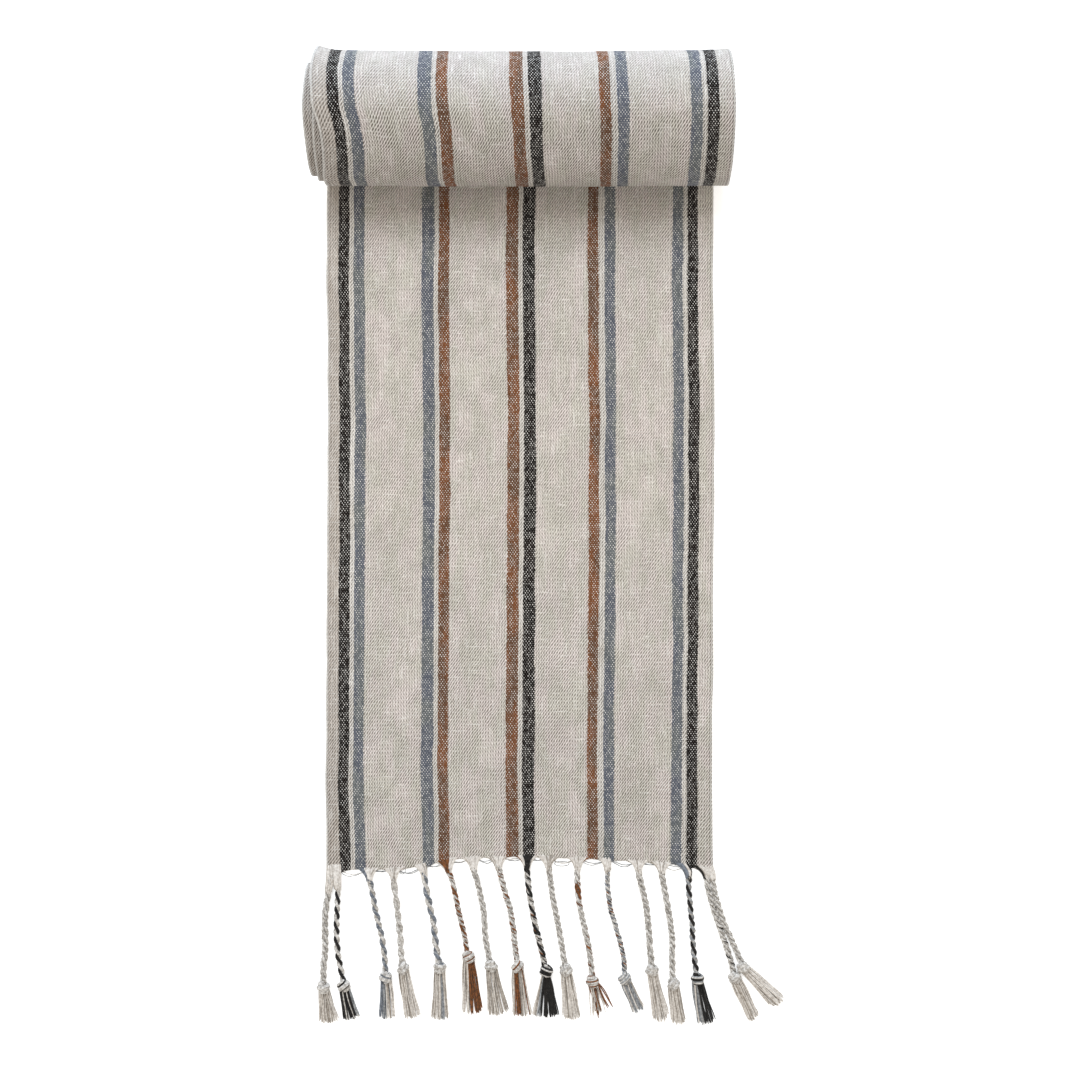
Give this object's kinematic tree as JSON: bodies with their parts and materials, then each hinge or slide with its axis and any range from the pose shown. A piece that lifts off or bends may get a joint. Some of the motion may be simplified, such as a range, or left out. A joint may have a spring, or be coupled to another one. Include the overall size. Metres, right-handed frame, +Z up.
{
  "type": "table runner",
  "caption": "Striped woven cloth runner with knotted fringe at both ends, lying flat with its far end loosely rolled up.",
  "frame": {"origin": "middle of the underside of the stretch that lies flat, on the surface that the runner lies on", "axes": "+X across the cloth, +Y along it from the fringe towards the roll, +Z up from the surface"},
  "size_m": [0.429, 0.8787, 0.118],
  "materials": {
    "striped_cloth": "matte woven cotton with lengthwise stripes",
    "cream_yarn": "matte spun cotton",
    "charcoal_yarn": "matte spun cotton",
    "slate_yarn": "matte spun cotton",
    "brown_yarn": "matte spun cotton"
  },
  "bodies": {
    "cloth": {"cloth_flat": "striped_cloth", "edge_threads": "cream_yarn"},
    "roll": {"cloth_roll": "striped_cloth", "inner_cords": "cream_yarn", "inner_knots": "cream_yarn", "inner_skirts": "cream_yarn"},
    "tassel_01": {"cord_01": "cream_yarn", "knot_01": "cream_yarn", "skirt_01": "cream_yarn"},
    "tassel_02": {"cord_02": "charcoal_yarn", "knot_02": "charcoal_yarn", "skirt_02": "charcoal_yarn"},
    "tassel_03": {"cord_03": "slate_yarn", "knot_03": "slate_yarn", "skirt_03": "slate_yarn"},
    "tassel_04": {"cord_04": "cream_yarn", "knot_04": "cream_yarn", "skirt_04": "cream_yarn"},
    "tassel_05": {"cord_05": "slate_yarn", "knot_05": "slate_yarn", "skirt_05": "slate_yarn"},
    "tassel_06": {"cord_06": "brown_yarn", "knot_06": "brown_yarn", "skirt_06": "brown_yarn"},
    "tassel_07": {"cord_07": "cream_yarn", "knot_07": "cream_yarn", "skirt_07": "cream_yarn"},
    "tassel_08": {"cord_08": "cream_yarn", "knot_08": "cream_yarn", "skirt_08": "cream_yarn"},
    "tassel_09": {"cord_09": "charcoal_yarn", "knot_09": "charcoal_yarn", "skirt_09": "charcoal_yarn"},
    "tassel_10": {"cord_10": "cream_yarn", "knot_10": "cream_yarn", "skirt_10": "cream_yarn"},
    "tassel_11": {"cord_11": "brown_yarn", "knot_11": "brown_yarn", "skirt_11": "brown_yarn"},
    "tassel_12": {"cord_12": "slate_yarn", "knot_12": "slate_yarn", "skirt_12": "slate_yarn"},
    "tassel_13": {"cord_13": "cream_yarn", "knot_13": "cream_yarn", "skirt_13": "cream_yarn"},
    "tassel_14": {"cord_14": "cream_yarn", "knot_14": "cream_yarn", "skirt_14": "cream_yarn"},
    "tassel_15": {"cord_15": "charcoal_yarn", "knot_15": "charcoal_yarn", "skirt_15": "charcoal_yarn"},
    "tassel_16_17": {"cord_16": "cream_yarn", "knot_16": "cream_yarn", "skirt_16": "cream_yarn", "cord_17": "cream_yarn", "knot_17": "cream_yarn", "skirt_17": "cream_yarn"}
  },
  "joints": [
    {"name": "roll_slide", "type": "slide", "parent": "cloth", "child": "roll", "axis": [0, 1, 0], "range_m": [0, 0.1]},
    {"name": "tassel_01_lift", "type": "hinge", "parent": "cloth", "child": "tassel_01", "pos_m": [-0.1715, -0.34636, 0.003], "axis": [-1, 0, 0], "range_deg": [0, 90]},
    {"name": "tassel_02_lift", "type": "hinge", "parent": "cloth", "child": "tassel_02", "pos_m": [-0.162, -0.34615, 0.003], "axis": [-1, 0, 0], "range_deg": [0, 90]},
    {"name": "tassel_03_lift", "type": "hinge", "parent": "cloth", "child": "tassel_03", "pos_m": [-0.1395, -0.34565, 0.003], "axis": [-1, 0, 0], "range_deg": [0, 90]},
    {"name": "tassel_04_lift", "type": "hinge", "parent": "cloth", "child": "tassel_04", "pos_m": [-0.1165, -0.34514, 0.003], "axis": [-1, 0, 0], "range_deg": [0, 90]},
    {"name": "tassel_05_lift", "type": "hinge", "parent": "cloth", "child": "tassel_05", "pos_m": [-0.086, -0.34212, 0.003], "axis": [-1, 0, 0], "range_deg": [0, 90]},
    {"name": "tassel_06_lift", "type": "hinge", "parent": "cloth", "child": "tassel_06", "pos_m": [-0.0675, -0.3399, 0.003], "axis": [-1, 0, 0], "range_deg": [0, 90]},
    {"name": "tassel_07_lift", "type": "hinge", "parent": "cloth", "child": "tassel_07", "pos_m": [-0.0445, -0.33848, 0.003], "axis": [-1, 0, 0], "range_deg": [0, 90]},
    {"name": "tassel_08_lift", "type": "hinge", "parent": "cloth", "child": "tassel_08", "pos_m": [-0.021, -0.3377, 0.003], "axis": [-1, 0, 0], "range_deg": [0, 90]},
    {"name": "tassel_09_lift", "type": "hinge", "parent": "cloth", "child": "tassel_09", "pos_m": [0.006, -0.33706, 0.003], "axis": [-1, 0, 0], "range_deg": [0, 90]},
    {"name": "tassel_10_lift", "type": "hinge", "parent": "cloth", "child": "tassel_10", "pos_m": [0.0255, -0.33726, 0.003], "axis": [-1, 0, 0], "range_deg": [0, 90]},
    {"name": "tassel_11_lift", "type": "hinge", "parent": "cloth", "child": "tassel_11", "pos_m": [0.053, -0.33753, 0.003], "axis": [-1, 0, 0], "range_deg": [0, 90]},
    {"name": "tassel_12_lift", "type": "hinge", "parent": "cloth", "child": "tassel_12", "pos_m": [0.081, -0.33781, 0.003], "axis": [-1, 0, 0], "range_deg": [0, 90]},
    {"name": "tassel_13_lift", "type": "hinge", "parent": "cloth", "child": "tassel_13", "pos_m": [0.1085, -0.33844, 0.003], "axis": [-1, 0, 0], "range_deg": [0, 90]},
    {"name": "tassel_14_lift", "type": "hinge", "parent": "cloth", "child": "tassel_14", "pos_m": [0.13, -0.33954, 0.003], "axis": [-1, 0, 0], "range_deg": [0, 90]},
    {"name": "tassel_15_lift", "type": "hinge", "parent": "cloth", "child": "tassel_15", "pos_m": [0.1555, -0.34085, 0.003], "axis": [-1, 0, 0], "range_deg": [0, 90]},
    {"name": "tassel_16_17_lift", "type": "hinge", "parent": "cloth", "child": "tassel_16_17", "pos_m": [0.17475, -0.34183, 0.003], "axis": [-1, 0, 0], "range_deg": [0, 90]}
  ]
}
